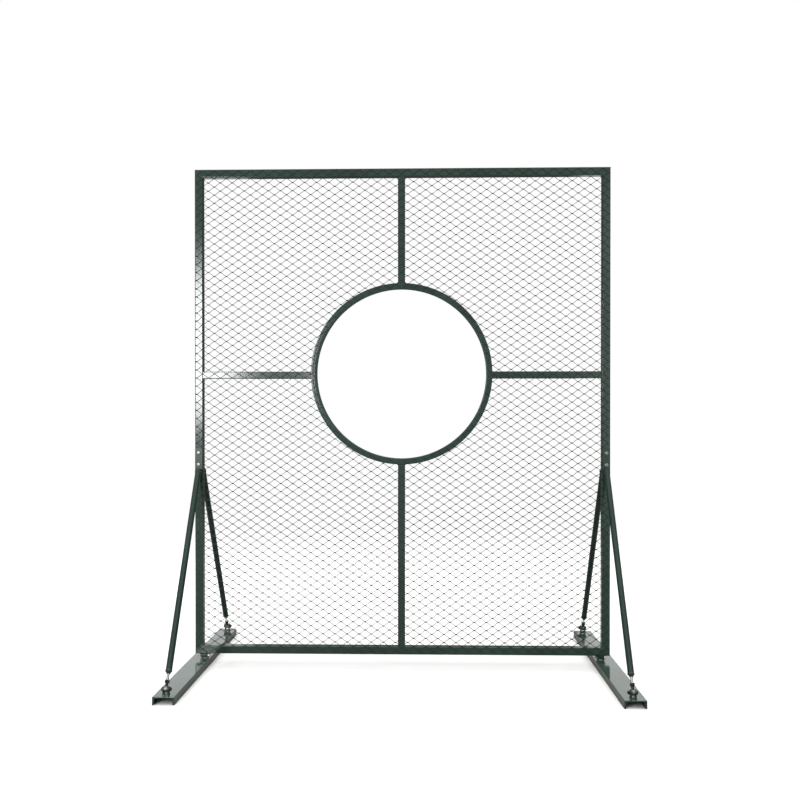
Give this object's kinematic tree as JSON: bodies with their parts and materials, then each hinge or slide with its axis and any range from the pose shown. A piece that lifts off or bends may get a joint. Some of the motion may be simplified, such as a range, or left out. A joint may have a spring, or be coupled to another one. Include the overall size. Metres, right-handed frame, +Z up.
{
  "type": "golf chipping net",
  "caption": "Free-standing steel target with a round hole in a sheet of expanded-metal net, held plumb by threaded braces on channel feet.",
  "frame": {"origin": "on the ground, midway between the feet's outer sides and midway between their ends", "axes": "+X to the right seen from the netted front, +Y from front to back, +Z up"},
  "size_m": [2.106, 1.314, 2.464],
  "materials": {
    "green_paint": "dark green gloss paint",
    "net_paint": "dark green paint on expanded steel",
    "zinc_plate": "bright zinc plate",
    "black_oxide": "black oxide",
    "dark_steel": "dark green satin paint"
  },
  "bodies": {
    "feet": {"left_foot": "green_paint", "right_foot": "green_paint", "front_left_lug": "green_paint", "front_right_lug": "green_paint", "rear_left_lug": "green_paint", "rear_right_lug": "green_paint", "lug_bolts": "zinc_plate", "lug_nuts": "black_oxide", "left_clevis": "green_paint", "right_clevis": "green_paint", "tilt_bolts": "zinc_plate", "tilt_nuts": "zinc_plate"},
    "panel": {"top_rail": "green_paint", "bottom_rail": "green_paint", "left_upright": "green_paint", "right_upright": "green_paint", "upper_spoke": "green_paint", "lower_spoke": "green_paint", "left_spoke": "green_paint", "right_spoke": "green_paint", "target_ring": "green_paint", "net_sheet": "net_paint", "left_knuckle": "green_paint", "right_knuckle": "green_paint", "front_left_bracket": "green_paint", "front_right_bracket": "green_paint", "rear_left_bracket": "green_paint", "rear_right_bracket": "green_paint", "bracket_bolts": "zinc_plate", "bracket_nuts": "zinc_plate", "brace_pins": "dark_steel"},
    "front_left_adjuster": {"front_left_screw": "zinc_plate", "front_left_lock_nut": "black_oxide"},
    "front_left_strut": {"front_left_bush": "dark_steel", "front_left_brace": "green_paint"},
    "front_right_adjuster": {"front_right_screw": "zinc_plate", "front_right_lock_nut": "black_oxide"},
    "front_right_strut": {"front_right_bush": "dark_steel", "front_right_brace": "green_paint"},
    "rear_left_adjuster": {"rear_left_screw": "zinc_plate", "rear_left_lock_nut": "black_oxide"},
    "rear_left_strut": {"rear_left_bush": "dark_steel", "rear_left_brace": "green_paint"},
    "rear_right_adjuster": {"rear_right_screw": "zinc_plate", "rear_right_lock_nut": "black_oxide"},
    "rear_right_strut": {"rear_right_bush": "dark_steel", "rear_right_brace": "green_paint"}
  },
  "joints": [
    {"name": "panel_tilt", "type": "hinge", "parent": "feet", "child": "panel", "pos_m": [0, 0, 0.052], "axis": [1, 0, 0], "range_deg": [-2, 2]},
    {"name": "front_left_swing", "type": "hinge", "parent": "feet", "child": "front_left_adjuster", "pos_m": [-1.002, -0.62, 0.06], "axis": [1, 0, 0], "range_deg": [-1.4, 1.4]},
    {"name": "front_left_length", "type": "slide", "parent": "front_left_adjuster", "child": "front_left_strut", "axis": [0, 0.5317, 0.8469], "range_m": [-0.0185, 0.0185]},
    {"name": "front_right_swing", "type": "hinge", "parent": "feet", "child": "front_right_adjuster", "pos_m": [1.002, -0.62, 0.06], "axis": [1, 0, 0], "range_deg": [-1.4, 1.4]},
    {"name": "front_right_length", "type": "slide", "parent": "front_right_adjuster", "child": "front_right_strut", "axis": [0, 0.5317, 0.8469], "range_m": [-0.0185, 0.0185]},
    {"name": "rear_left_swing", "type": "hinge", "parent": "feet", "child": "rear_left_adjuster", "pos_m": [-1.002, 0.62, 0.06], "axis": [1, 0, 0], "range_deg": [-1.4, 1.4]},
    {"name": "rear_left_length", "type": "slide", "parent": "rear_left_adjuster", "child": "rear_left_strut", "axis": [0, -0.5317, 0.8469], "range_m": [-0.0185, 0.0185]},
    {"name": "rear_right_swing", "type": "hinge", "parent": "feet", "child": "rear_right_adjuster", "pos_m": [1.002, 0.62, 0.06], "axis": [1, 0, 0], "range_deg": [-1.4, 1.4]},
    {"name": "rear_right_length", "type": "slide", "parent": "rear_right_adjuster", "child": "rear_right_strut", "axis": [0, -0.5317, 0.8469], "range_m": [-0.0185, 0.0185]}
  ],
  "couplings": [
    {"joint": "front_left_swing", "follows": "panel_tilt", "ratio": 0.69885},
    {"joint": "front_left_length", "follows": "panel_tilt", "m_per_rad": -0.52936},
    {"joint": "front_right_swing", "follows": "panel_tilt", "ratio": 0.69885},
    {"joint": "front_right_length", "follows": "panel_tilt", "m_per_rad": -0.52936},
    {"joint": "rear_left_swing", "follows": "panel_tilt", "ratio": 0.69885},
    {"joint": "rear_left_length", "follows": "panel_tilt", "m_per_rad": 0.52936},
    {"joint": "rear_right_swing", "follows": "panel_tilt", "ratio": 0.69885},
    {"joint": "rear_right_length", "follows": "panel_tilt", "m_per_rad": 0.52936}
  ]
}
